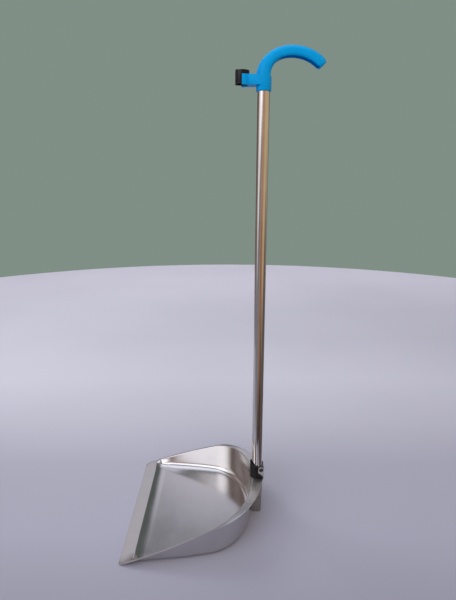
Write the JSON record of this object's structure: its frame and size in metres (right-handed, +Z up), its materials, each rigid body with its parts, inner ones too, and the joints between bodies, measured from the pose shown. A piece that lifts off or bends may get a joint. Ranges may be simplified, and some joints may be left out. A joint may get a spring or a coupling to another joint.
{
  "type": "long-handled dustpan",
  "caption": "Pressed steel dustpan with a lip ramp and turned-out rim, on an upright tube handle that folds back, with a hooked grip and a clip for a broom stick.",
  "frame": {"origin": "on the floor, at the centre of the footprint of the whole part, from the pan's lip to the tip of the hook", "axes": "+Z up along the handle, the pan's mouth towards -Y, the hook and the fold towards +Y, X across the pan"},
  "size_m": [0.3236, 0.3824, 0.9402],
  "materials": {
    "pan_steel": "satin pressed stainless sheet",
    "bracket_steel": "brushed stainless strip",
    "yoke_steel": "polished stainless strip",
    "tube_steel": "polished stainless tube",
    "fastener_steel": "bright zinc-plated steel",
    "dark_bolt": "blackened steel",
    "cast_knuckle": "die-cast, matt",
    "black_plastic": "satin moulded black",
    "spacer_nylon": "matt nylon",
    "blue_plastic": "glossy moulded sky blue",
    "black_rubber": "smooth black rubber"
  },
  "bodies": {
    "pan_assembly": {"pan": "pan_steel", "leg_bracket": "bracket_steel", "pivot_yoke": "yoke_steel", "saddle": "black_plastic", "saddle_screws": "fastener_steel", "saddle_nuts": "fastener_steel", "pivot_bolt": "dark_bolt", "pivot_sleeve": "fastener_steel", "pivot_spacers": "spacer_nylon", "pivot_washer": "fastener_steel", "pivot_nut": "fastener_steel"},
    "handle_assembly": {"knuckle": "cast_knuckle", "knuckle_rivet": "fastener_steel", "tube": "tube_steel", "hook_handle": "blue_plastic", "handle_screw": "fastener_steel", "clip_insert": "black_rubber"}
  },
  "joints": [
    {"name": "handle_fold", "type": "hinge", "parent": "pan_assembly", "child": "handle_assembly", "pos_m": [0, 0.0922, 0.1055], "axis": [-1, 0, 0], "range_deg": [0, 90]}
  ]
}
